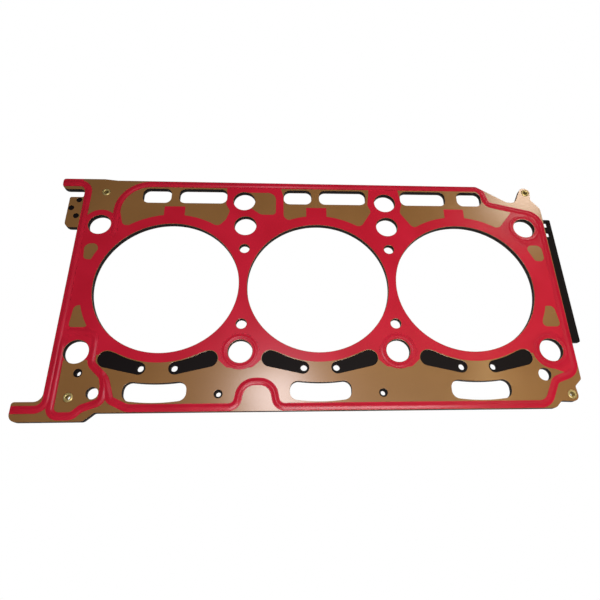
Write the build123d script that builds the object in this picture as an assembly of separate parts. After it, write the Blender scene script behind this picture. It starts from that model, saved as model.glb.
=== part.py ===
"""Cylinder head gasket for one three-cylinder bank of a V6 diesel engine.

A pack of steel sheets held together by four brass eyelets: a bronze-coated sheet on each face, a
thick black-coated carrier between them, a stopper shim round the bores, and on the top face a red
elastomer print that is raised into sealing beads.

Frame: millimetres, +Z up to the cylinder head, +X along the row of cylinders towards the end with
the carrier's tab, +Y to the side with the straight coolant slots. The origin is on the axis of the
middle bore, in the lower face of the pack, which lies on the engine block.

Round edges are drawn as flats that touch the true arc from outside and leave it by no more than a
named sag, because thin sheets with this many openings would otherwise be very heavy.
"""

import os
from math import acos, ceil, cos, degrees, pi, radians, sin, tan

from build123d import *

# ---- driving dimensions, in millimetres ----

# cylinders and bolts: the metal left between two bores, and how far the rows of bolts lie inside the
# lines that touch the bores above and below
bore_r = 42.5
web_w = 5
bolt_hole_r = 6.85
bolt_inset = 0.9

# what everything else is placed from: the bores' axes, the columns of bolts between and beside them, and
# the lines that touch the bores above and below
bore_pitch = 2 * bore_r + web_w
left_bore, right_bore = -bore_pitch, bore_pitch
left_web, right_web = -bore_pitch / 2, bore_pitch / 2
left_end, right_end = -1.5 * bore_pitch, 1.5 * bore_pitch
lower, upper = -bore_r, bore_r

# thicknesses, from the lower sheet up
sheet_t = 0.25
carrier_t = 2.2
shim_t = 0.3
shim_lap = 2.5
print_t = 0.06

# sealing beads of the print
bead_h = 0.35
bead_w = 2.6
bead_crest_w = 1.2

# edges that the outline follows
left_x = left_end - 13
right_x = right_end + 14
top_left_y = upper + 32.7
top_right_y = upper + 31.6
bottom_y = lower - 33
upper_arm_x = left_end - 27.7
lower_arm_x = left_end - 28.5
upper_arm_low_y = upper + 25.5
upper_arm_high_y = upper + 33.7
lower_arm_low_y = lower - 37.5
lower_arm_high_y = lower - 26.9

# coolant slots along the upper edge: (left end, right end)
slots = [
    (left_bore - 21, left_bore - 3),
    (left_bore + 2, left_web - 12.5),
    (-21, -3),
    (2, right_web - 12.5),
    (right_web + 10.5, right_bore - 4.5),
    (right_bore + 3.5, right_bore + 19.8),
]
slot_low_y = upper + 15.8
slot_high_y = upper + 26.7
slot_corner_r = 4

# coolant slots under the bores: each long side dips in one wide arc between its straight ends
smile_half = 17
smile_end = 5.8
smile_high_y = lower - 16
smile_low_y = lower - 26.7
smile_dip = 2
smile_corner_r = 4.5

# ends of the windows in the top sheet, and the metering holes under them:
# (degrees below the row of bores, from the bore's wall, radius)
window_big = (58.7, 11.35, 4.8)
window_small = (79.2, 9.8, 3.6)
window_gap = 6.1
metering_hole = (79.8, 9.6, 1.9)

# other round openings: (x, y, radius)
passages = [(left_web - 1.3, upper + 17.8, 6.95), (right_web - 0.1, upper + 17.4, 6.8)]
oil_holes = [(left_end + 12.3, lower - 22.5, 3.3), (right_end - 7, lower - 13.7, 3.7)]
web_hole_y = 25
web_hole_r = 3.1
stepped_holes = [
    (left_end + 3, lower - 11.3),
    (left_web - 10.8, lower - 23.5),
    (right_web - 10.5, lower - 23.5),
]
stepped_r = 2.4
stepped_inner_r = 1.4

# eyelets
eyelets = [
    (left_end + 0.5, upper + 23.5),
    (left_end + 0.2, lower - 24.7),
    (right_end + 6.2, upper + 27),
    (right_end + 6.3, lower - 25.4),
]
eyelet_flange_r = 2.6
eyelet_flange_t = 0.4
eyelet_barrel_r = 1.7
eyelet_bore_r = 1.2

# identification tab of the top sheet, and the carrier's tab at the other end
tab_x = left_end - 21.4
tab_low_y = upper - 3.2
tab_high_y = upper + 19.5
tab_holes = [
    (left_end - 19.3, upper + 11.2),
    (left_end - 15.4, upper + 5.3),
    (left_end - 15.3, upper + 17.2),
]
tab_hole_r = 1.8
carrier_tab_x = right_end + 18.9
carrier_tab_low_y = lower + 5.7
carrier_tab_high_y = upper + 6.1
carrier_tab_slots = [(upper - 6.9, upper - 3.1), (upper + 0.3, upper + 4.5)]
carrier_tab_slot_w = 3

# sealing print
band_w = 4.3
print_margin = 0.4
edge_margin = 0.2
bore_ring_w = 5.6
upper_ring_w = 6.8
bolt_ring_r = 10.8
end_ring_r = 11.5
block_half = 6.5
block_y = upper + 13.1
# all red: both arms' ends, and beside the two end bolts on the left: (x from, x to, y from, y to)
solid_areas = [
    (upper_arm_x - 1, left_end - 15, upper + 27.8, upper + 35),
    (lower_arm_x - 1, left_end - 15, lower - 33.25, lower - 28.95),
    (left_x + 2, left_end + 9.2, upper - 14.5, upper + 4.5),
    (left_x + 2, left_end + 9.2, lower - 4, lower + 12.7),
]

# how far a flat may leave the true arc: on the top sheet, on the print, on its beads, on what lies underneath
sag = 0.22
print_sag = 0.4
bead_sag = 0.8
hidden_sag = 0.8

# ---- worked out from them ----

bores = [left_bore, 0, right_bore]
webs = [left_web, right_web]
bolts = [(x, y) for x in (left_end, *webs, right_end) for y in (lower + bolt_inset, upper - bolt_inset)]

smile_dip_r = (smile_half - smile_end) * smile_half / smile_dip

carrier_z = sheet_t
shim_z = carrier_z + carrier_t
top_z = shim_z + shim_t
face_z = top_z + sheet_t


def flats(r, turn, off):
    """How many flats an arc takes, if none may leave it by more than off: at least one for a right angle."""
    return ceil(turn / (2 * acos(max(1 - off / r, cos(pi / 4)))))


def disc(x, y, r, off=sag):
    return Pos(x, y) * RegularPolygon(r, 2 * max(flats(r, pi, off), 3), major_radius=False)


def route(corners, off=sag, closed=True):
    """Points of a line through corners (x, y, radius), each rounded by flats."""
    points = []
    for i, (x, y, r) in enumerate(corners):
        here = Vector(x, y)
        if not closed and i in (0, len(corners) - 1):
            points.append(here)
            continue
        back = (Vector(*corners[i - 1][:2]) - here).normalized()
        ahead = (Vector(*corners[(i + 1) % len(corners)][:2]) - here).normalized()
        half = acos(back.dot(ahead)) / 2
        turn = pi - 2 * half
        centre = here + (back + ahead).normalized() * (r / sin(half))
        side = 1 if back.cross(ahead).Z < 0 else -1
        count = flats(r, turn, off)
        start = here + back * (r / tan(half)) - centre
        for k in range(count + 1):
            a = side * turn * k / count
            points.append(centre + start.rotate(Axis.Z, degrees(a)))
    return points


def parallel(corners, gap):
    """The same closed anticlockwise line further out by gap, its radii grown or shrunk to match."""
    moved = []
    for i, (x, y, r) in enumerate(corners):
        here = Vector(x, y)
        back = (Vector(*corners[i - 1][:2]) - here).normalized()
        ahead = (Vector(*corners[(i + 1) % len(corners)][:2]) - here).normalized()
        half = acos(back.dot(ahead)) / 2
        shift = gap if back.cross(ahead).Z < 0 else -gap
        corner = here - (back + ahead).normalized() * (shift / sin(half))
        moved.append((corner.X, corner.Y, r + shift))
    return moved


def shape(corners, off=sag):
    return make_face(Polyline(*route(corners, off), close=True))


def box(x0, x1, y0, y1, r, off=sag):
    return shape([(x0, y0, r), (x1, y0, r), (x1, y1, r), (x0, y1, r)], off)


def plate(face, z, t):
    return Pos(0, 0, z) * extrude(face, t)


# edge that all the sheets share: two arms and a tab on the left, two eyelet lugs on the right
outline = [
    (upper_arm_x, upper_arm_high_y, 1.5),
    (upper_arm_x, upper_arm_low_y, 4.5),
    (left_x, upper_arm_low_y, 2.5),
    (left_x, tab_high_y, 1),
    (tab_x, tab_high_y, 1),
    (tab_x, tab_low_y, 4),
    (left_x, tab_low_y, 0.5),
    (left_x, lower_arm_high_y, 4.5),
    (lower_arm_x, lower_arm_high_y, 1.5),
    (lower_arm_x, lower_arm_low_y, 4.5),
    (left_end + 9.7, lower_arm_low_y, 3),
    (left_end + 15, bottom_y, 2),
    (right_end - 4.5, bottom_y, 4),
    (right_end - 0.6, lower - 29, 2),
    (right_end + 10.1, lower - 29.4, 3.4),
    (right_end + 9.2, lower - 20.7, 1.5),
    (right_end + 13.5, lower - 16.8, 2),
    (right_x, upper + 14.5, 5),
    (right_end + 8.6, upper + 21.4, 2),
    (right_end + 10, upper + 30.8, 3.5),
    (right_end + 3.3, upper + 30.8, 3.5),
    (right_end - 2.2, upper + 19.1, 4),
    (right_end - 7.8, upper + 19.2, 5),
    (right_bore + 18, top_right_y, 3.5),
    (left_end + 6.5, top_left_y, 4),
    (left_end - 1.5, upper_arm_high_y, 4),
]


def smile(x, off):
    """Coolant slot under a bore: its long sides dip towards the cylinder's middle line."""
    return shape(
        [
            (x - smile_half, smile_high_y, smile_corner_r),
            (x, smile_high_y - smile_dip, smile_dip_r),
            (x + smile_half, smile_high_y, smile_corner_r),
            (x + smile_half, smile_low_y, smile_corner_r),
            (x, smile_low_y - smile_dip, smile_dip_r),
            (x - smile_half, smile_low_y, smile_corner_r),
        ],
        off,
    )


def round_bore(x, side, angle, gap, r, more=0, off=sag):
    """Disc placed round a bore, on its right or left, at an angle below the row and a gap from its wall."""
    reach = bore_r + gap
    return disc(x + side * reach * cos(radians(angle)), -reach * sin(radians(angle)), r + more, off)


def window(x, side, more):
    """Window over a metering hole: a big and a small round end, hollowed along the bore."""
    ends = [round_bore(x, side, *end, more) for end in (window_big, window_small)]
    return make_hull((ends[0] + ends[1]).edges()) - disc(x, 0, bore_r + window_gap - more)


def bolt_holes(off=sag, more=0):
    return [disc(x, y, bolt_hole_r + more, off) for x, y in bolts]


def openings(off=sag, more=0):
    """What else goes right through the pack, each opening larger all round by more."""
    cuts = [disc(x, 0, bore_r + more, off) for x in bores]
    cuts += [disc(x, y, web_hole_r + more, off) for x in webs for y in (-web_hole_y, web_hole_y)]
    cuts += [disc(x, y, r + more, off) for x, y, r in passages + oil_holes]
    for x0, x1 in slots:
        sides = (x0 - more, x1 + more, slot_low_y - more, slot_high_y + more)
        cuts.append(box(*sides, slot_corner_r + more, off))
    return cuts


def sheet(face, off):
    """A sheet's outline with the openings that every sheet has."""
    face -= openings(off) + [smile(x, off) for x in bores]
    return face - [disc(x, y, eyelet_barrel_r) for x, y in eyelets]


def small_holes():
    """Stepped and metering holes of the sheets under the top one."""
    holes = [disc(x, y, stepped_inner_r, print_sag) for x, y in stepped_holes]
    return holes + [round_bore(x, side, *metering_hole, off=print_sag) for x in bores for side in (-1, 1)]


# ---- lines that the beads and the print's bands follow ----

band_loop = [
    (left_bore - 13.5, lower - 30.8, 8),
    (left_web - 1, lower - 30.8, 5),
    (left_web + 1.8, lower - 16.7, 8.5),
    (left_web + 18.3, lower - 16.7, 8.5),
    (left_web + 21.2, lower - 30.8, 5),
    (right_end - 8.5, lower - 30.8, 8),
    (right_end - 1.6, lower - 17.1, 5),
    (right_end + 11.3, lower - 12.5, 8),
    (right_end + 11.3, upper + 9.1, 9),
    (right_end - 21.8, upper + 17.4, 6),
    (right_bore + 20.2, upper + 29.8, 5),
    (left_end + 9.2, upper + 30.1, 20),
    (left_end + 9.2, upper - 12.5, 6),
    (left_end - 10.6, upper - 12.5, 5),
    (left_end - 10.6, lower + 12.7, 5),
    (left_end + 9.2, lower + 12.7, 6),
    (left_end + 9.2, lower - 6, 5),
    (left_end + 18, lower - 14.5, 8),
    (left_end + 22, lower - 26.3, 4),
]
# the bead leaves the band at the left, where it ends beside the two end bolts
perimeter_bead = [
    (left_end - 6, lower + 12.9, 0),
    (left_end + 9.2, lower + 12.7, 6),
    *band_loop[16:],
    *band_loop[:12],
    (left_end + 9.2, upper - 6.5, 0),
]
# along the left-hand side, from arm to arm
edge_bead = [
    (upper_arm_x + 1.5, upper + 30.3, 0),
    (left_end - 10.6, upper + 30.3, 7),
    (left_end - 10.6, lower - 31.1, 6),
    (lower_arm_x + 1.5, lower - 31.1, 0),
]
# round the eyelet and the two small holes of the lower left-hand corner
corner_bead = [
    (left_end + 14.4, lower - 12.8, 0),
    (left_end + 18, lower - 18.5, 4),
    (left_end + 17.8, lower - 27.1, 4),
    (left_end + 7.7, lower - 30.7, 5),
    (left_end + 3.6, lower - 34.7, 5),
    (left_end - 8.2, lower - 34.7, 5),
    (left_end - 8.2, lower + 6.5, 0),
]


# bronze fields that the print leaves open above each bore, outside its ring and beside its tongue
slot_fields = [
    [
        (left_end + 11.1, upper + 9.5, 1),
        (left_end + 14, upper - 1.2, 3),
        (left_web - 19, upper - 1.2, 4),
        (left_web - 12.5, upper + 3.5, 2),
        (left_web - 10.2, upper + 10, 2),
        (left_web - 12.8, upper + 15, 2),
        (left_web - 12.8, upper + 29.5, 0.5),
        (left_end + 11.1, upper + 29.5, 0.5),
    ],
    [
        (left_web + 21.7, upper + 29.5, 0.5),
        (left_web + 23.8, upper + 21.5, 1),
        (left_web + 24, upper + 4.8, 3.5),
        (0, upper - 2.5, 1),
        (right_web - 17, upper - 1.5, 3),
        (right_web - 9.4, upper + 10.5, 2),
        (right_web - 11.6, upper + 15.5, 2),
        (right_web - 9.8, upper + 29.5, 0.5),
    ],
    [
        (right_web + 9, upper + 29.5, 0.5),
        (right_web + 10.9, upper + 16.5, 2),
        (right_web + 9.2, upper + 10, 2),
        (right_web + 16.5, upper - 1.5, 3),
        (right_end - 17, upper - 1.5, 4),
        (right_end - 7.2, upper + 10.5, 1),
        (right_end - 6, upper + 14.5, 1),
        (right_end - 22, upper + 29.5, 0.5),
    ],
]
# bronze fields beside the upper left passage and outside the two end bores
small_fields = [
    [
        (left_web - 1, upper + 24.5, 1),
        (left_web + 19, upper + 24.5, 4.5),
        (left_web + 19, upper + 7.5, 1.5),
        (left_web + 9.5, upper + 7.5, 2),
        (left_web - 1, upper + 15.5, 1),
    ],
    [
        (left_end - 7, upper - 14.5, 3.5),
        (left_end + 2.8, upper - 14.5, 3.5),
        (left_end + 0.2, 16.8, 2.5),
        (left_end - 5.8, 16.8, 2.5),
    ],
    [
        (left_end - 5.6, -13.6, 2.5),
        (left_end + 1.1, -13.6, 2.5),
        (left_end + 3.6, lower + 15.5, 2),
        (left_end - 7, lower + 15.5, 2),
    ],
    [
        (right_end - 2.4, upper - 13.9, 3),
        (right_end + 8.8, upper - 13.9, 3),
        (right_end + 8.8, 17.2, 3),
        (right_end + 2.6, 17.2, 2),
    ],
    [
        (right_end + 1.2, -13.8, 2),
        (right_end + 7.6, -13.8, 3),
        (right_end + 9.2, lower + 15.5, 2.5),
        (right_end - 2.4, lower + 15.5, 2.5),
    ],
]


def band(corners):
    """Printed strip along an open rounded line."""
    return trace(Polyline(*route(corners, print_sag, closed=False)), band_w)


def bare_fields():
    """Bronze fields that the print leaves open inside the perimeter band."""
    fields = [shape(corners, print_sag) for corners in small_fields]
    for x, corners in zip(bores, slot_fields):
        tongue = box(x - block_half, x + block_half, 0, block_y, 0.5, print_sag)
        fields.append(shape(corners, print_sag) - disc(x, 0, bore_r + upper_ring_w, print_sag) - tongue)

    below = box(left_end + 5, right_end + 5, bottom_y, lower - 1, 0.5, print_sag)
    below -= [disc(x, 0, bore_r + bore_ring_w, print_sag) for x in bores]
    below -= [disc(x, lower + bolt_inset, bolt_ring_r, print_sag) for x in webs]
    below -= disc(right_end, lower + bolt_inset, end_ring_r, print_sag)
    return fields + [below]


def print_face():
    """Red field inside the perimeter band, and the bands that run out to the left-hand corners."""
    inner = shape(parallel(band_loop, -band_w / 2), print_sag)
    red = shape(parallel(band_loop, band_w / 2), print_sag) - [field & inner for field in bare_fields()]
    red += [band(edge_bead), band(corner_bead), disc(left_end, upper - bolt_inset, bolt_ring_r, print_sag)]
    red += [box(*sides, 0.5) for sides in solid_areas]
    red &= shape(parallel(outline, -edge_margin), print_sag)
    red -= openings(print_sag, print_margin) + bolt_holes(print_sag, print_margin)
    return red - windows(print_margin / 2)


def windows(more=0):
    return [window(x, side, more) for x in bores for side in (-1, 1)]


def ridge(corners):
    """Raised bead along a rounded line: a flat crest between two sloping sides."""
    points = route(corners, bead_sag, closed=False)
    path = Polyline(*points)
    section = Plane(origin=points[0], x_dir=Vector(0, 0, 1).cross(path % 0), z_dir=path % 0)
    profile = [(-bead_w / 2, 0), (-bead_crest_w / 2, bead_h), (bead_crest_w / 2, bead_h), (bead_w / 2, 0)]
    return sweep(section * make_face(Polyline(*profile, close=True)), path, transition=Transition.RIGHT)


def eyelet(x, y):
    """Tubular rivet: a barrel through the pack with a flange turned over on each face."""
    length = face_z + 2 * eyelet_flange_t
    flange = extrude(disc(x, y, eyelet_flange_r), eyelet_flange_t)
    body = extrude(disc(x, y, eyelet_barrel_r), length) + flange
    body += Pos(0, 0, length - eyelet_flange_t) * flange
    return Pos(0, 0, -eyelet_flange_t) * (body - extrude(disc(x, y, eyelet_bore_r), length))


os.makedirs("parts", exist_ok=True)

top_holes = [disc(x, y, tab_hole_r) for x, y in tab_holes]
top_holes += [disc(x, y, stepped_r) for x, y in stepped_holes]
top_sheet = sheet(shape(outline), sag) - bolt_holes() - top_holes - windows()

carrier_tab = box(right_x - 5, carrier_tab_x, carrier_tab_low_y, carrier_tab_high_y, 1)
carrier_tab -= [box(right_x, right_x + carrier_tab_slot_w, y0, y1, 0.5) for y0, y1 in carrier_tab_slots]
lower_outline = shape(outline, hidden_sag)
lower_face = sheet(lower_outline, hidden_sag) - bolt_holes(hidden_sag) - small_holes()
# the carrier's bolt holes are true circles: they centre the pack on the head bolts
carrier_face = sheet(lower_outline + carrier_tab, hidden_sag) - small_holes()
carrier_face -= [Pos(x, y) * Circle(bolt_hole_r) for x, y in bolts]

# its three rings run together between the bores
shim = [disc(x, 0, bore_pitch / 2 + shim_lap, hidden_sag) for x in bores]
shim = shim[0] + shim[1:] - [disc(x, 0, bore_r, hidden_sag) for x in bores]

seal_print = plate(print_face(), face_z, print_t)
seal_print += [Pos(0, 0, face_z + print_t) * ridge(line) for line in (perimeter_bead, edge_bead, corner_bead)]

nodes = {
    "top_sheet": plate(top_sheet, top_z, sheet_t),
    "seal_print": seal_print,
    "stopper_shim": plate(shim, shim_z, shim_t),
    "carrier_sheet": plate(carrier_face, carrier_z, carrier_t),
    "bottom_sheet": plate(lower_face, 0, sheet_t),
    "eyelets": Compound([eyelet(x, y) for x, y in eyelets]),
}
for name, node in nodes.items():
    export_step(node, f"parts/{name}.step")
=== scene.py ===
from math import acos, atan2, ceil, cos, pi, sin, tan

import bpy
from mathutils import Matrix, Vector
from mathutils.geometry import delaunay_2d_cdt


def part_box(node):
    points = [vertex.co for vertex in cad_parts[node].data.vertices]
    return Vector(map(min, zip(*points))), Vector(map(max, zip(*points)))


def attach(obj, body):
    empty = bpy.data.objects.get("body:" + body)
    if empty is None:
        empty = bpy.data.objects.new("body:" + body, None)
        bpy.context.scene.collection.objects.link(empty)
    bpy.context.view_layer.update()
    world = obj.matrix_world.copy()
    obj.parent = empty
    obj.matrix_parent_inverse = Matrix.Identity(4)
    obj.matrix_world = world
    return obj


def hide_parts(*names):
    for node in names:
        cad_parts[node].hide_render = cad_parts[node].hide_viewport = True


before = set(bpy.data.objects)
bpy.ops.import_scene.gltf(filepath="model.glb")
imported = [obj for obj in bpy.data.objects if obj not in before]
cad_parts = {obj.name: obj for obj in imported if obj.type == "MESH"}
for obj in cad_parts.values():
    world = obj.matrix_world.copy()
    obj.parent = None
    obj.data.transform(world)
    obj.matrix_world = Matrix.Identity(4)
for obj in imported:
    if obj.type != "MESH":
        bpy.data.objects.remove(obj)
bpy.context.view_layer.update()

# ---- bottom sheet ----
# A spring-steel sheet 0.25 mm thick, coated bronze and stamped out in one stroke. It lies on the
# engine block. Its stamped edges are painted near black, a painted shade for the dark walls of the holes.

mm = 0.001

bottom_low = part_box("bottom_sheet")[0].z
bottom_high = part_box("bottom_sheet")[1].z

# places and sizes are in millimetres from the middle bore's axis
bore_r = 42.5
bores = (-90, 0, 90)
webs = (-45, 45)
bolt_r, bolt_row = 6.85, 41.6
bolts = [(x, y) for x in (-135, *webs, 135) for y in (-bolt_row, bolt_row)]
# two coolant holes in each web, then the passages and oil holes
web_hole_r, web_hole_row = 3.1, 25
round_openings = [(x, y, web_hole_r) for x in webs for y in (-web_hole_row, web_hole_row)]
round_openings += [(-46.3, 60.3, 6.95), (44.9, 59.9, 6.8), (-122.7, -65, 3.3), (128, -56.2, 3.7)]
# coolant slots: left and right end of each, and the two sides that all share
slots = [(-111, -93), (-88, -57.5), (-21, -3), (2, 32.5), (55.5, 85.5), (93.5, 109.8)]
slot_low, slot_high, slot_corner_r = 58.3, 69.2, 4
# stepped holes are wider in the top sheet than below it
stepped_holes = [(-132, -53.8), (-55.8, -66), (34.5, -66)]
stepped_r, stepped_lower_r = 2.4, 1.4
metering_x, metering_y, metering_r = 9.2, -51.3, 1.9
eyelet_places = [(-134.5, 66), (-134.8, -67.2), (141.2, 69.5), (141.3, -67.9)]
eyelet_hole_r = 1.7

outline = [
    (-162.7, 76.2, 1.5), (-162.7, 68, 4.5), (-148, 68, 2.5), (-148, 62, 1), (-156.4, 62, 1),
    (-156.4, 39.3, 4), (-148, 39.3, 0.5), (-148, -69.4, 4.5), (-163.5, -69.4, 1.5), (-163.5, -80, 4.5),
    (-125.3, -80, 3), (-120, -75.5, 2), (130.5, -75.5, 4), (134.4, -71.5, 2), (145.1, -71.9, 3.4),
    (144.2, -63.2, 1.5), (148.5, -59.3, 2), (149, 57, 5), (143.6, 63.9, 2), (145, 73.3, 3.5),
    (138.3, 73.3, 3.5), (132.8, 61.6, 4), (127.2, 61.7, 5), (108, 74.1, 3.5), (-128.5, 75.2, 4),
    (-136.5, 76.2, 4),
]


def rounded(corners, closed=True, step=0.6):
    """Points of a line through corners (x, y, radius), each corner turned into an arc."""
    points = []
    for i, (x, y, r) in enumerate(corners):
        here = Vector((x, y))
        if not closed and i in (0, len(corners) - 1):
            points.append(here)
            continue
        back = (Vector(corners[i - 1][:2]) - here).normalized()
        ahead = (Vector(corners[(i + 1) % len(corners)][:2]) - here).normalized()
        half = acos(back.dot(ahead)) / 2
        turn = pi - 2 * half
        centre = here + (back + ahead).normalized() * (r / sin(half))
        side = 1 if back.cross(ahead) < 0 else -1
        count = max(3, round(r * turn / step))
        start = here + back * (r / tan(half)) - centre
        points += [centre + Matrix.Rotation(side * turn * k / count, 2) @ start for k in range(count + 1)]
    return points


arc_step = 0.9
fewest_sides = 24


def ring(x, y, r):
    """Points of a circle."""
    count = max(fewest_sides, round(2 * pi * r / arc_step))
    return [Vector((x + r * cos(2 * pi * k / count), y + r * sin(2 * pi * k / count)))
            for k in range(count)]


def divided(line, longest=3, closed=False):
    """The same line with points added, so that no step is longer than the longest."""
    points = []
    for a, b in zip(line, line[1:] + line[:1] if closed else line[1:]):
        count = max(1, ceil((b - a).length / longest))
        points += [a.lerp(b, k / count) for k in range(count)]
    return points if closed else points + line[-1:]


def oblong(x0, x1, y0, y1, r):
    """Points of a rectangle with rounded corners."""
    return rounded([(x0, y0, r), (x1, y0, r), (x1, y1, r), (x0, y1, r)])


def smile(x):
    """Coolant slot under a bore: its long sides dip at the middle."""
    half, high, low, dip, corner_r, dip_r = 17, -58.5, -69.2, 2, 4.5, 95
    return rounded([(x - half, high, corner_r), (x, high - dip, dip_r), (x + half, high, corner_r),
                    (x + half, low, corner_r), (x, low - dip, dip_r), (x - half, low, corner_r)])


openings = [ring(x, 0, bore_r) for x in bores] + [ring(x, y, bolt_r) for x, y in bolts]
openings += [ring(*hole) for hole in round_openings]
openings += [oblong(x0, x1, slot_low, slot_high, slot_corner_r) for x0, x1 in slots]
openings += [smile(x) for x in bores]
eyelet_holes = [ring(x, y, eyelet_hole_r) for x, y in eyelet_places]
# points closer than this are one point, and edges flatter than this angle are shaded smooth
merge_mm, smooth_below = 0.001, 0.6


def stamped(name, loops, low, high, burr):
    """Flat sheet with the outline and holes of loops between two heights, its edges rounded by burr."""
    curve = bpy.data.curves.new(name, "CURVE")
    curve.dimensions = "2D"
    curve.fill_mode = "BOTH"
    curve.bevel_resolution = 1
    curve.bevel_depth = burr * mm
    curve.offset = -burr * mm
    curve.extrude = (high - low) / 2 - burr * mm
    for loop in loops:
        spline = curve.splines.new("POLY")
        spline.points.add(len(loop) - 1)
        for point, place in zip(spline.points, loop):
            point.co = (place.x * mm, place.y * mm, 0, 1)
        spline.use_cyclic_u = True
    sheet = bpy.data.objects.new(name, curve)
    bpy.context.collection.objects.link(sheet)
    bpy.ops.object.select_all(action="DESELECT")
    sheet.select_set(True)
    bpy.context.view_layer.objects.active = sheet
    bpy.ops.object.convert(target="MESH")
    sheet = bpy.context.object
    sheet.data.transform(Matrix.Translation((0, 0, (low + high) / 2)))
    bpy.ops.object.mode_set(mode="EDIT")
    bpy.ops.mesh.select_all(action="SELECT")
    bpy.ops.mesh.remove_doubles(threshold=merge_mm * mm)
    bpy.ops.mesh.normals_make_consistent(inside=False)
    bpy.ops.object.mode_set(mode="OBJECT")
    bpy.ops.object.shade_smooth_by_angle(angle=smooth_below)
    # the two faces are truly flat, so the rounded edges must not bend their shading
    for polygon in sheet.data.polygons:
        polygon.use_smooth = abs(polygon.normal.z) < 0.99
    return sheet


def linear(hex_colour):
    """An sRGB colour such as "#AA2233" as linear red, green, blue, alpha."""
    parts = [int(hex_colour[i:i + 2], 16) / 255 for i in (1, 3, 5)]
    return [c / 12.92 if c <= 0.04045 else ((c + 0.055) / 1.055) ** 2.4 for c in parts] + [1]


def add_node(tree, kind, inputs=(), **settings):
    """Adds a node with its settings; inputs are pairs of a socket and a value or another socket."""
    new = tree.nodes.new(kind)
    for setting, value in settings.items():
        setattr(new, setting, value)
    for socket, value in inputs:
        if isinstance(value, bpy.types.NodeSocket):
            tree.links.new(value, new.inputs[socket])
        else:
            new.inputs[socket].default_value = value
    return new


def new_material(name):
    """A material with its node tree and its shader, ready for more nodes."""
    made = bpy.data.materials.new(name)
    made.use_nodes = True
    return made, made.node_tree, made.node_tree.nodes["Principled BSDF"]


# bronze-coloured lacquer baked on rolled spring steel: a satin metal with a faint grain along the roll
bronze, tree, shader = new_material("bronze_lacquer_on_spring_steel")
place = add_node(tree, "ShaderNodeTexCoord").outputs["Object"]
roll_grain_mm = 0.6
along_the_roll = (0.04, 1, 1)
stretched = add_node(tree, "ShaderNodeMapping", [("Vector", place),
                                                 ("Scale", along_the_roll)]).outputs["Vector"]
grain = add_node(tree, "ShaderNodeTexNoise", [("Vector", stretched), ("Scale", 1 / (roll_grain_mm * mm)),
                                              ("Detail", 4)]).outputs["Fac"]
cloud_mm = 40
cloud = add_node(tree, "ShaderNodeTexNoise", [("Vector", place), ("Scale", 1 / (cloud_mm * mm)),
                                              ("Detail", 3)]).outputs["Fac"]
lacquer = add_node(tree, "ShaderNodeValToRGB", [("Fac", cloud)])
lacquer.color_ramp.elements[0].position = 0.3
lacquer.color_ramp.elements[0].color = linear("#8C6236")
lacquer.color_ramp.elements[1].position = 0.7
lacquer.color_ramp.elements[1].color = linear("#956A3C")
gloss = add_node(tree, "ShaderNodeMapRange", [("Value", grain), ("To Min", 0.262), ("To Max", 0.278)])
relief = add_node(tree, "ShaderNodeBump", [("Height", grain), ("Strength", 0.025),
                                           ("Distance", 0.02 * mm)])
tree.links.new(lacquer.outputs["Color"], shader.inputs["Base Color"])
tree.links.new(gloss.outputs["Result"], shader.inputs["Roughness"])
tree.links.new(relief.outputs["Normal"], shader.inputs["Normal"])
shader.inputs["Metallic"].default_value = 0.2
shader.inputs["Coat Weight"].default_value = 1
shader.inputs["Coat Roughness"].default_value = 0.18

# stamped edge of the steel, half matt; its near-black colour is painted shade for the dark walls round the
# holes
edge_painted_shade, tree, shader = new_material("stamped_edge_painted_shade")
place = add_node(tree, "ShaderNodeTexCoord").outputs["Object"]
tear_mm = 0.3
tear = add_node(tree, "ShaderNodeTexNoise", [("Vector", place),
                                             ("Scale", 1 / (tear_mm * mm))]).outputs["Fac"]
edge_shade_tone = add_node(tree, "ShaderNodeValToRGB", [("Fac", tear)])
# painted shade: both edge colours are near black, darker than bare steel, to stand in for the shade inside
# the walls
edge_shade_tone.color_ramp.elements[0].color = linear("#0E0908")
edge_shade_tone.color_ramp.elements[1].color = linear("#1E1612")
tree.links.new(edge_shade_tone.outputs["Color"], shader.inputs["Base Color"])
shader.inputs["Metallic"].default_value = 0.6
shader.inputs["Roughness"].default_value = 0.5


def coat(sheet, face_material, edge_material):
    """The faces of a sheet take one material and its stamped edges another."""
    sheet.data.materials.clear()
    sheet.data.materials.append(face_material)
    sheet.data.materials.append(edge_material)
    for polygon in sheet.data.polygons:
        polygon.material_index = 0 if abs(polygon.normal.z) > 0.5 else 1


metering_holes = [ring(x + side * metering_x, metering_y, metering_r)
                  for x in bores for side in (-1, 1)]
lower_holes = openings + eyelet_holes + metering_holes
lower_holes += [ring(x, y, stepped_lower_r) for x, y in stepped_holes]
bottom_burr = 0.04
bottom_sheet = stamped("bottom_sheet_smooth", [rounded(outline)] + lower_holes, bottom_low, bottom_high,
                       bottom_burr)
# the stamped edges take the near-black painted shade
coat(bottom_sheet, bronze, edge_painted_shade)
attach(bottom_sheet, "root")
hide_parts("bottom_sheet")

# ---- carrier sheet ----
# The thick middle layer, mild steel with a black coat. It sets the height of the pack, meters the
# coolant through small holes, and its tab reaches out at the right-hand end.

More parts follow.
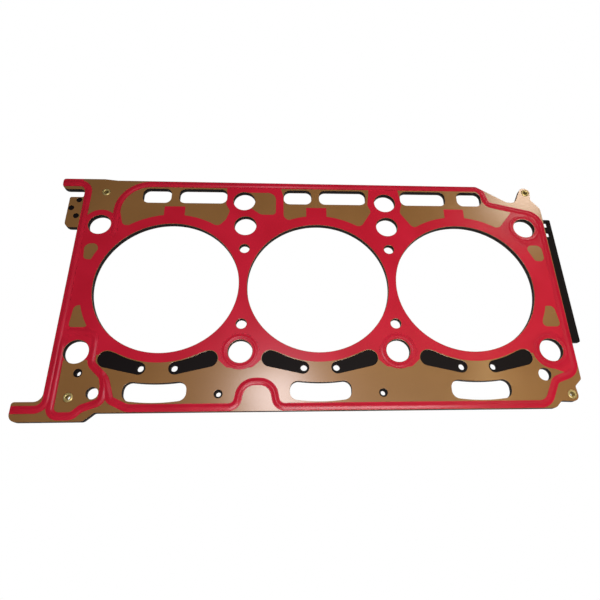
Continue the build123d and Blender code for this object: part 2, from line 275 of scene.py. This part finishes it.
carrier_low, carrier_high = (corner.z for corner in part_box("carrier_sheet"))
carrier_burr = 0.12
tab_root, tab_reach = 149, 153.9
tab_low, tab_high = -36.8, 48.6
carrier_outline = []
for corner in outline:
    if corner == (tab_root, 57, 5):
        carrier_outline += [(tab_root, tab_low, 0.5), (tab_reach, tab_low, 1),
                            (tab_reach, tab_high, 1), (tab_root, tab_high, 0.5)]
    carrier_outline.append(corner)
tab_slot_w = 3
tab_slots = [oblong(tab_root, tab_root + tab_slot_w, y0, y1, 0.5)
             for y0, y1 in ((35.6, 39.4), (42.8, 47))]
carrier = stamped("carrier_sheet_smooth", [rounded(carrier_outline)] + lower_holes + tab_slots,
                  carrier_low, carrier_high, carrier_burr)

# black phosphate and lacquer coat: nearly black with a warm tint and a soft gloss
black_coat, tree, shader = new_material("black_phosphated_steel")
place = add_node(tree, "ShaderNodeTexCoord").outputs["Object"]
crystal_mm = 0.5
crystals = add_node(tree, "ShaderNodeTexNoise", [("Vector", place), ("Scale", 1 / (crystal_mm * mm)),
                                                 ("Detail", 3)]).outputs["Fac"]
black_tone = add_node(tree, "ShaderNodeValToRGB", [("Fac", crystals)])
black_tone.color_ramp.elements[0].color = linear("#0A0607")
black_tone.color_ramp.elements[1].color = linear("#140D0E")
relief = add_node(tree, "ShaderNodeBump", [("Height", crystals), ("Strength", 0.3),
                                           ("Distance", 0.02 * mm)])
tree.links.new(black_tone.outputs["Color"], shader.inputs["Base Color"])
tree.links.new(relief.outputs["Normal"], shader.inputs["Normal"])
shader.inputs["Roughness"].default_value = 0.6
shader.inputs["IOR"].default_value = 1.22
coat(carrier, black_coat, black_coat)
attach(carrier, "root")
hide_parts("carrier_sheet")

# ---- stopper shim ----
# Three steel rings in one piece, laid on the carrier round the bores. They make the pack thickest
# there, so that the head presses hardest where the combustion gas must be held.

shim_low, shim_high = (corner.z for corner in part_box("stopper_shim"))
shim_r, shim_burr = 47.5, 0.03
# the rings meet in the webs: angle from a bore's axis to that point
waist = acos(webs[1] / shim_r)
# round the left-hand ring, under the middle one, round the right-hand one and back over the middle
shim_arcs = [(bores[0], waist, 2 * pi - waist), (bores[1], pi + waist, 2 * pi - waist),
             (bores[2], pi + waist, 3 * pi - waist), (bores[1], waist, pi - waist)]
shim_edge = []
for x, first, last in shim_arcs:
    count = round(shim_r * (last - first) / arc_step)
    turns = [first + (last - first) * k / count for k in range(1, count + 1)]
    shim_edge += [Vector((x + shim_r * cos(turn), shim_r * sin(turn))) for turn in turns]
shim = stamped("stopper_shim_smooth", [shim_edge] + [ring(x, 0, bore_r) for x in bores],
               shim_low, shim_high, shim_burr)

# rolled strip steel, bare and darkened in the oven that bakes the coats
shim_steel, tree, shader = new_material("rolled_strip_steel")
place = add_node(tree, "ShaderNodeTexCoord").outputs["Object"]
scale_mm = 1.5
oven_scale = add_node(tree, "ShaderNodeTexNoise", [("Vector", place),
                                                   ("Scale", 1 / (scale_mm * mm))]).outputs["Fac"]
steel_tone = add_node(tree, "ShaderNodeValToRGB", [("Fac", oven_scale)])
steel_tone.color_ramp.elements[0].color = linear("#2A2220")
steel_tone.color_ramp.elements[1].color = linear("#403430")
tree.links.new(steel_tone.outputs["Color"], shader.inputs["Base Color"])
shader.inputs["Metallic"].default_value = 0.8
shader.inputs["Roughness"].default_value = 0.4
coat(shim, shim_steel, shim_steel)
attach(shim, "root")
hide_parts("stopper_shim")

# ---- top sheet ----
# The upper spring-steel sheet, bronze like the lower one. Windows and stepped holes show the black
# carrier under it, and three holes mark its tab at the left.

top_low, top_high = (corner.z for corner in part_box("top_sheet"))


def kidney(x, side, more=0):
    """Window over a metering hole: a large and a small round end, hollowed along the bore."""
    big = Vector((side * 28, -46))
    small = Vector((side * 9.8, -51.4))
    big_r, small_r, hollow_r = 4.8 + more, 3.6 + more, bore_r + 6.1 - more
    run = small - big
    # angle at which the two sides touch both ends
    way = atan2(run.y, run.x)
    lean = acos((big_r - small_r) / run.length)
    ends = ((big, big_r, way + lean, way - lean + 2 * pi), (small, small_r, way - lean, way + lean))
    end_step, side_step = 0.5, 0.6
    points = []
    for centre, r, first, last in ends:
        count = round((last - first) * r / end_step)
        turns = [-first - (last - first) * k / count for k in range(count + 1)]
        points += [centre + Vector((r, 0)) @ Matrix.Rotation(turn, 2) for turn in turns]
    # what lies too near the bore is pushed out to the hollow
    return [Vector((x, 0)) + p * max(1, hollow_r / p.length)
            for p in divided(points, side_step, closed=True)]


windows = [kidney(x, side) for x in bores for side in (-1, 1)]
mark_r, top_burr = 1.8, 0.06
mark_holes = [ring(x, y, mark_r) for x, y in ((-154.3, 53.7), (-150.4, 47.8), (-150.3, 59.7))]
top_holes = openings + eyelet_holes + windows + mark_holes
top_holes += [ring(x, y, stepped_r) for x, y in stepped_holes]
top_sheet = stamped("top_sheet_smooth", [rounded(outline)] + top_holes, top_low, top_high, top_burr)
# the top sheet's stamped edges take the same near-black painted shade
coat(top_sheet, bronze, edge_painted_shade)
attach(top_sheet, "root")
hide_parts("top_sheet")

# ---- seal print ----
# Red fluoroelastomer, screen-printed on the top sheet and cured. It stands up in beads along the
# lines that have to seal, and leaves bronze fields bare where there is nothing to seal.

print_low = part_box("seal_print")[0].z
film = 0.06 * mm
bead_high = 0.35 * mm
ring_bead_high = 0.14 * mm
band_bead_half, ring_bead_half, ring_bead_r = 1.9, 1.3, 8.9
band = 4.3
# rings of print round the bores and the bolts, and the tongue above each bore
upper_ring_w, lower_ring_w = 6.8, 5.6
bolt_ring_r, end_ring_r = 10.8, 11.5
tongue_half, tongue_top = 6.5, 55.6
margin, edge_margin, window_margin = 0.2, 0.15, 0.3
# the outer band of the print runs round the sheet, and its bead leaves it beside the two left-hand bolts
band_loop = [
    (-103.5, -73.3, 8), (-46, -73.3, 5), (-43.2, -59.2, 8.5), (-26.7, -59.2, 8.5), (-23.8, -73.3, 5),
    (126.5, -73.3, 8), (133.4, -59.6, 5), (146.3, -55, 8), (146.3, 51.6, 9), (113.2, 59.9, 6),
    (110.2, 72.3, 5), (-125.8, 72.6, 20), (-125.8, 30, 6), (-145.6, 30, 5), (-145.6, -29.8, 5),
    (-125.8, -29.8, 6), (-125.8, -48.5, 5), (-117, -57, 8), (-113, -68.8, 4),
]
perimeter_bead = [(-141, -29.6, 0), (-125.8, -29.8, 6), *band_loop[16:], *band_loop[:12], (-125.8, 36, 0)]
edge_bead = [(-161.2, 72.8, 0), (-145.6, 72.8, 7), (-145.6, -73.6, 6), (-162, -73.6, 0)]
corner_bead = [(-119.2, -52.8, 0), (-117, -61, 4), (-117.2, -69.6, 4), (-127.3, -73.2, 5),
               (-131.4, -77.2, 5), (-143.2, -77.2, 5), (-143.2, -36, 0)]
solid_areas = [(-163.7, -150, 70.3, 77.5), (-164.5, -150, -75.75, -71.45),
               (-146, -125.8, 28, 47), (-146, -125.8, -46.5, -29.8)]


def beside(line, gap, closed):
    """The same line of points shifted sideways by gap, to its right as it runs."""
    moved = []
    for i, here in enumerate(line):
        before = line[i - 1] if closed or i else here
        after = line[(i + 1) % len(line)] if closed or i < len(line) - 1 else here
        ways = [(b - a).normalized() for a, b in ((before, here), (here, after)) if (b - a).length > 0]
        normal = sum((Vector((way.y, -way.x)) for way in ways), Vector((0, 0))).normalized()
        stretch = max(0.3, normal.dot(Vector((ways[0].y, -ways[0].x))))
        moved.append(here + normal * (gap / stretch))
    return moved


band_line = rounded(band_loop)
perimeter_line, edge_line, corner_line = (divided(rounded(line, closed=False))
                                          for line in (perimeter_bead, edge_bead, corner_bead))
# every bead: its line, whether that is closed, half its width and its height over the film
beads = [(line, False, band_bead_half, bead_high) for line in (perimeter_line, edge_line, corner_line)]
beads += [(ring(x, y, ring_bead_r), True, ring_bead_half, ring_bead_high)
          for x, y in ((-45, -bolt_row), (45, -bolt_row), (135, -bolt_row), (135, bolt_row))]


def strip(line):
    """Outline of a band of print along an open line."""
    return beside(line, band / 2, False) + beside(line, -band / 2, False)[::-1]


# what is printed: the field inside the outer band, the bands to the left-hand corners, the solid areas
printed = [beside(band_line, band / 2, True), strip(edge_line), strip(corner_line)]
printed.append(ring(-135, bolt_row, bolt_ring_r))
printed += [oblong(*sides, 0.5) for sides in solid_areas]
# what stays bare inside the perimeter band: each field less the rings and tongues that cross it
fields = {
    "slots_left": [(-123.9, 52, 1), (-121, 41.3, 3), (-90, 40, 1), (-65.3, 42.65, 0.5), (-62.1, 40.8, 3.5),
                   (-57.5, 46, 4), (-55.2, 52.5, 3), (-57.8, 57.5, 2), (-57.8, 72, 1.5), (-123.9, 72, 0.5)],
    "slots_middle": [(-23.3, 72, 1.5), (-21.2, 64, 3), (-21, 47.3, 4.5), (0, 40, 1), (24.7, 42.65, 0.5),
                     (27.9, 40.8, 3.5), (35.6, 53, 3), (33.4, 58, 3), (35.2, 72, 1.5)],
    "slots_right": [(54, 72, 1.5), (55.9, 59, 3), (54.2, 52.5, 3), (62.1, 40.8, 3), (65.3, 42.65, 0.5),
                    (90, 40, 1), (114.7, 42.65, 0.5), (117.9, 40.8, 4), (127.8, 53, 2.5), (129, 57, 1),
                    (113, 72, 0.5)],
    "passage": [(-46, 67, 1), (-26, 67, 5.5), (-26, 50, 2.5), (-35.5, 50, 4), (-46, 58, 1)],
    "left_upper": [(-142, 28, 4), (-132.2, 28, 4), (-134.8, 16.8, 2.5), (-140.8, 16.8, 2.5)],
    "left_lower": [(-140.8, -13.4, 3), (-133.7, -13.4, 3), (-131.2, -27, 2), (-142, -27, 2)],
    "right_upper": [(132.6, 28.6, 3), (143.4, 28.6, 3.5), (143.8, 17.2, 3), (137.6, 17.2, 2.5)],
    "right_lower": [(136.2, -13.6, 2.9), (142.4, -13.6, 3.2), (144.2, -27, 2.5), (132.8, -27, 2.5)],
    "lower": [(-130, -75.5, 0.5), (140, -75.5, 0.5), (140, -43.5, 0.5), (-130, -43.5, 0.5)],
}
upper_rings = [ring(x, 0, bore_r + upper_ring_w) for x in bores]
upper_rings += [oblong(x - tongue_half, x + tongue_half, 0, tongue_top, 0.5) for x in bores]
lower_rings = [ring(x, 0, bore_r + lower_ring_w) for x in bores]
lower_rings += [ring(x, -bolt_row, bolt_ring_r) for x in webs] + [ring(135, -bolt_row, end_ring_r)]
# wedges of print that fill the corners between the rings
lower_rings += [rounded([(x - 17, -42, 0.5), (x - 7, -51.3, 3), (x + 7, -51.3, 3), (x + 17, -42, 0.5)])
                for x in webs]
lower_rings += [rounded([(134, -47, 1), (134.5, -53.1, 0.5), (140.2, -55.3, 0.5), (146, -47, 1)])]
bare_inside = beside(band_line, -band / 2, True)
holes = [ring(x, 0, bore_r + margin) for x in bores] + [ring(x, y, bolt_r + margin) for x, y in bolts]
holes += [ring(x, y, r + margin) for x, y, r in round_openings]
holes += [oblong(x0 - margin, x1 + margin, slot_low - margin, slot_high + margin, slot_corner_r + margin)
          for x0, x1 in slots]
holes += [kidney(x, side, window_margin) for x in bores for side in (-1, 1)]


def bead_height(point):
    """How far the print stands up at a point: a rounded ridge along each bead line."""
    highest = 0
    for line, closed, bead_half, high in beads:
        for a, b in zip(line, line[1:] + line[:1] if closed else line[1:]):
            if min(a.x, b.x) - bead_half > point.x or max(a.x, b.x) + bead_half < point.x:
                continue
            run = b - a
            share = min(1, max(0, (point - a).dot(run) / run.length_squared)) if run.length else 0
            away = (point - a - run * share).length
            if away < bead_half:
                highest = max(highest, high * (1 + cos(pi * away / bead_half)) / 2)
    return highest


# one flat triangulation of every loop, cut along lines beside the beads so that their ridges are smooth
groups = {"printed": printed, "sheet": [beside(rounded(outline), -edge_margin, True)],
          "inner": [bare_inside],
          "field": [rounded(corners) for name, corners in fields.items() if name != "lower"],
          "upper_ring": upper_rings, "lower": [rounded(fields["lower"])], "lower_ring": lower_rings,
          "hole": holes}
points, faces, group_of_face = [], [], []
for group, loops in groups.items():
    for loop in loops:
        area = sum(a.cross(b) for a, b in zip(loop, loop[1:] + loop[:1]))
        loop = divided(loop if area > 0 else loop[::-1], closed=True)
        faces.append(list(range(len(points), len(points) + len(loop))))
        group_of_face.append(group)
        points += [Vector(place) for place in loop]
edges = []
tracks_a_side = 5
for line, closed, bead_half, high in beads:
    for k in range(-tracks_a_side, tracks_a_side + 1):
        track = beside(line, bead_half * k / tracks_a_side, closed)
        first, last = len(points), len(points) + len(track) - 1
        points += track
        edges += [(i, i + 1) for i in range(first, last)]
        if closed:
            edges.append((last, first))
join_mm = 1e-4
flat, _, triangles, _, _, face_sources = delaunay_2d_cdt(points, edges, faces, 0, join_mm, True)
kept = []
for triangle, sources in zip(triangles, face_sources):
    within = {group_of_face[source] for source in sources}
    bare = "inner" in within and (("field" in within and "upper_ring" not in within)
                                  or ("lower" in within and "lower_ring" not in within))
    if {"printed", "sheet"} <= within and not bare and "hole" not in within:
        kept.append(triangle)
used = sorted({corner for triangle in kept for corner in triangle})
renumber = {old: new for new, old in enumerate(used)}
print_mesh = bpy.data.meshes.new("seal_print_raised")
top_points = [(flat[i].x * mm, flat[i].y * mm, print_low + film + bead_height(flat[i])) for i in used]
print_mesh.from_pydata(top_points, [], [[renumber[i] for i in triangle] for triangle in kept])
seal_print = bpy.data.objects.new("seal_print_raised", print_mesh)
bpy.context.collection.objects.link(seal_print)
bpy.ops.object.select_all(action="DESELECT")
seal_print.select_set(True)
bpy.context.view_layer.objects.active = seal_print
# the film's underside is flat on the sheet
bpy.ops.object.mode_set(mode="EDIT")
bpy.ops.mesh.select_all(action="SELECT")
bpy.ops.mesh.normals_make_consistent(inside=False)
bpy.ops.mesh.extrude_region()
bpy.ops.object.mode_set(mode="OBJECT")
for vertex in print_mesh.vertices:
    if vertex.select:
        vertex.co.z = print_low
bpy.ops.object.mode_set(mode="EDIT")
bpy.ops.mesh.select_all(action="SELECT")
bpy.ops.mesh.normals_make_consistent(inside=False)
bpy.ops.object.mode_set(mode="OBJECT")
bpy.ops.object.shade_smooth_by_angle(angle=smooth_below)

# cured red elastomer: even pigment, a soft sheen and the faint orange peel of a thick print
elastomer, tree, shader = new_material("red_printed_elastomer")
place = add_node(tree, "ShaderNodeTexCoord").outputs["Object"]
blotch_mm, peel_mm = 25, 0.9
blotch = add_node(tree, "ShaderNodeTexNoise", [("Vector", place), ("Scale", 1 / (blotch_mm * mm)),
                                               ("Detail", 2)]).outputs["Fac"]
pigment = add_node(tree, "ShaderNodeValToRGB", [("Fac", blotch)])
pigment.color_ramp.elements[0].position = 0.35
pigment.color_ramp.elements[0].color = linear("#B4172D")
pigment.color_ramp.elements[1].position = 0.65
pigment.color_ramp.elements[1].color = linear("#BE1B33")
peel = add_node(tree, "ShaderNodeTexNoise", [("Vector", place), ("Scale", 1 / (peel_mm * mm)),
                                             ("Detail", 2)]).outputs["Fac"]
relief = add_node(tree, "ShaderNodeBump", [("Height", peel), ("Strength", 0.1),
                                           ("Distance", 0.03 * mm)])
tree.links.new(pigment.outputs["Color"], shader.inputs["Base Color"])
tree.links.new(relief.outputs["Normal"], shader.inputs["Normal"])
shader.inputs["Roughness"].default_value = 0.26
shader.inputs["IOR"].default_value = 1.38
seal_print.data.materials.append(elastomer)
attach(seal_print, "root")
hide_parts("seal_print")

# ---- eyelets ----
# Four tubular brass rivets, pressed through the pack and rolled over on both faces. They hold the
# sheets together until the head is bolted down.

eyelet_low, eyelet_high = (corner.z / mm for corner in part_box("eyelets"))
pack_high = top_high / mm
# half a section, from the bore outwards: (distance from the eyelet's axis, height)
upper_roll = [(1.2, 0.5), (1.2, pack_high - 0.3), (1.27, pack_high + 0.1), (1.45, eyelet_high - 0.08),
              (1.75, eyelet_high), (2.1, eyelet_high - 0.04), (2.4, eyelet_high - 0.14),
              (2.57, pack_high + 0.12), (2.6, pack_high + 0.04), (2.5, pack_high),
              (eyelet_hole_r, pack_high)]
lower_roll = [(r, pack_high - z) for r, z in upper_roll][::-1]
section = upper_roll + lower_roll
eyelet_mesh = bpy.data.meshes.new("eyelet")
eyelet_mesh.from_pydata([(r * mm, 0, z * mm) for r, z in section],
                        [(i, (i + 1) % len(section)) for i in range(len(section))], [])
eyelet = bpy.data.objects.new("eyelets_rolled", eyelet_mesh)
bpy.context.collection.objects.link(eyelet)
bpy.ops.object.select_all(action="DESELECT")
eyelet.select_set(True)
bpy.context.view_layer.objects.active = eyelet
bpy.ops.object.mode_set(mode="EDIT")
bpy.ops.mesh.select_all(action="SELECT")
eyelet_sides, seam_mm, eyelet_smooth_below = 32, 0.005, 0.7
bpy.ops.mesh.spin(steps=eyelet_sides, angle=2 * pi, center=(0, 0, 0), axis=(0, 0, 1))
bpy.ops.mesh.select_all(action="SELECT")
bpy.ops.mesh.remove_doubles(threshold=seam_mm * mm)
bpy.ops.mesh.normals_make_consistent(inside=False)
bpy.ops.object.mode_set(mode="OBJECT")
first_x, first_y = eyelet_places[0]
eyelet.data.transform(Matrix.Translation((first_x * mm, first_y * mm, 0)))
copies = [eyelet]
for x, y in eyelet_places[1:]:
    copy = eyelet.copy()
    copy.data = eyelet.data.copy()
    copy.data.transform(Matrix.Translation(((x - first_x) * mm, (y - first_y) * mm, 0)))
    bpy.context.collection.objects.link(copy)
    copies.append(copy)
for copy in copies:
    copy.select_set(True)
bpy.ops.object.join()
bpy.ops.object.shade_smooth_by_angle(angle=eyelet_smooth_below)

# rolled brass, a little dulled
brass, tree, shader = new_material("rolled_brass")
place = add_node(tree, "ShaderNodeTexCoord").outputs["Object"]
dull_mm = 0.8
dull = add_node(tree, "ShaderNodeTexNoise", [("Vector", place),
                                             ("Scale", 1 / (dull_mm * mm))]).outputs["Fac"]
brass_tone = add_node(tree, "ShaderNodeValToRGB", [("Fac", dull)])
brass_tone.color_ramp.elements[0].color = linear("#B39A55")
brass_tone.color_ramp.elements[1].color = linear("#DCC98F")
tree.links.new(brass_tone.outputs["Color"], shader.inputs["Base Color"])
shader.inputs["Metallic"].default_value = 0.7
shader.inputs["Roughness"].default_value = 0.42
eyelet.data.materials.append(brass)
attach(eyelet, "root")
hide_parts("eyelets")

# ---- floor, light and camera ----
# A white table top, soft lamps above and to the right, and a camera held low over the near edge.

bpy.ops.object.select_all(action="DESELECT")
table_size = 6
bpy.ops.mesh.primitive_plane_add(size=table_size, location=(0, 0, eyelet_low * mm))
floor = bpy.context.object
floor.name = "table_top"
white_top, tree, shader = new_material("white_table_top")
shader.inputs["Base Color"].default_value = linear("#F4F4F4")
shader.inputs["Roughness"].default_value = 0.6
lit = add_node(tree, "ShaderNodeEmission", [("Color", linear("#FFFFFF")), ("Strength", 1)])
seen = add_node(tree, "ShaderNodeLightPath").outputs["Is Camera Ray"]
mixed = add_node(tree, "ShaderNodeMixShader", [("Fac", seen), (1, shader.outputs["BSDF"]),
                                               (2, lit.outputs["Emission"])])
tree.links.new(mixed.outputs["Shader"], tree.nodes["Material Output"].inputs["Surface"])
floor.data.materials.append(white_top)

world = bpy.data.worlds.new("studio")
world.use_nodes = True
bpy.context.scene.world = world
sky = world.node_tree.nodes["Background"]
sky.inputs["Color"].default_value = linear("#FFFFFF")
path = add_node(world.node_tree, "ShaderNodeLightPath").outputs["Is Camera Ray"]
level = add_node(world.node_tree, "ShaderNodeMapRange", [("Value", path), ("To Min", 0.06),
                                                         ("To Max", 1)])
# the flat sheets mirror only the sky, so it is darker in them than it lights them
mirrored = add_node(world.node_tree, "ShaderNodeLightPath").outputs["Is Glossy Ray"]
dimmed = add_node(world.node_tree, "ShaderNodeMapRange", [("Value", mirrored), ("To Min", 1),
                                                          ("To Max", 0.7)])
strength = add_node(world.node_tree, "ShaderNodeMath", [(0, level.outputs["Result"]),
                                                        (1, dimmed.outputs["Result"])],
                    operation="MULTIPLY")
world.node_tree.links.new(strength.outputs["Value"], sky.inputs["Strength"])


def lamp(name, place, aim, size, watts, colour="#FFFFFF"):
    """Soft lamp at a place, turned to face a point; its size is its width and height."""
    light = bpy.data.lights.new(name, "AREA")
    light.shape = "RECTANGLE"
    light.size, light.size_y = size
    light.energy = watts
    light.color = linear(colour)[:3]
    holder = bpy.data.objects.new(name, light)
    holder.location = place
    holder.rotation_euler = (Vector(aim) - Vector(place)).to_track_quat("-Z", "Y").to_euler()
    bpy.context.collection.objects.link(holder)


# places, aims and sizes in metres, then watts
lamp("key_lamp", (0.07, -0.2, 0.45), (0.04, 0, 0), (0.3, 0.2), 2.0)
lamp("front_panel", (0.1, -0.04, 0.3), (0.1, -0.04, 0), (0.24, 0.3), 0.06, "#FFF2CC")
lamp("khaki_panel", (0.182, -0.005, 0.3), (0.182, -0.005, 0), (0.1, 0.13), 0.28, "#FFE9B0")
lamp("right_panel", (0.28, 0.15, 0.3), (0.28, 0.15, 0), (0.18, 0.3), 0.03, "#FFF1C4")
lamp("lug_lamp", (0.335, 0.32, 0.3), (0.142, 0.075, 0), (0.09, 0.09), 0.16, "#FFF6E8")
lamp("overhead_lamp", (-0.055, 0.16, 1.0), (0, 0, 0), (0.15, 0.15), 1.1, "#F2F4FF")
lamp("far_right_lamp", (0.76, 0.83, 1.0), (0.1, 0, 0), (0.15, 0.15), 0.2)

scene = bpy.context.scene
scene.view_settings.view_transform = "Standard"
camera = bpy.data.cameras.new("camera")
camera.sensor_width = 36
# the frame is 600 pixels wide, and the focal length and the shift are in its pixels
frame_px, focal_px = 600, 460
shift_right_px, shift_down_px = 14.2, 21
camera.lens = camera.sensor_width * focal_px / frame_px
camera.shift_x = -shift_right_px / frame_px
camera.shift_y = shift_down_px / frame_px
# where the camera stands, and its own right and up as directions in the room
camera_place = (-0.01636, -0.12462, 0.25039)
right = Vector((0.99873, -0.01995, 0.04628))
up = Vector((0.00094, 0.92552, 0.37870))
back = right.cross(up)
viewer = bpy.data.objects.new("camera", camera)
turn = Matrix((right, up, back)).transposed().to_4x4()
viewer.matrix_world = Matrix.Translation(camera_place) @ turn
bpy.context.collection.objects.link(viewer)
scene.camera = viewer
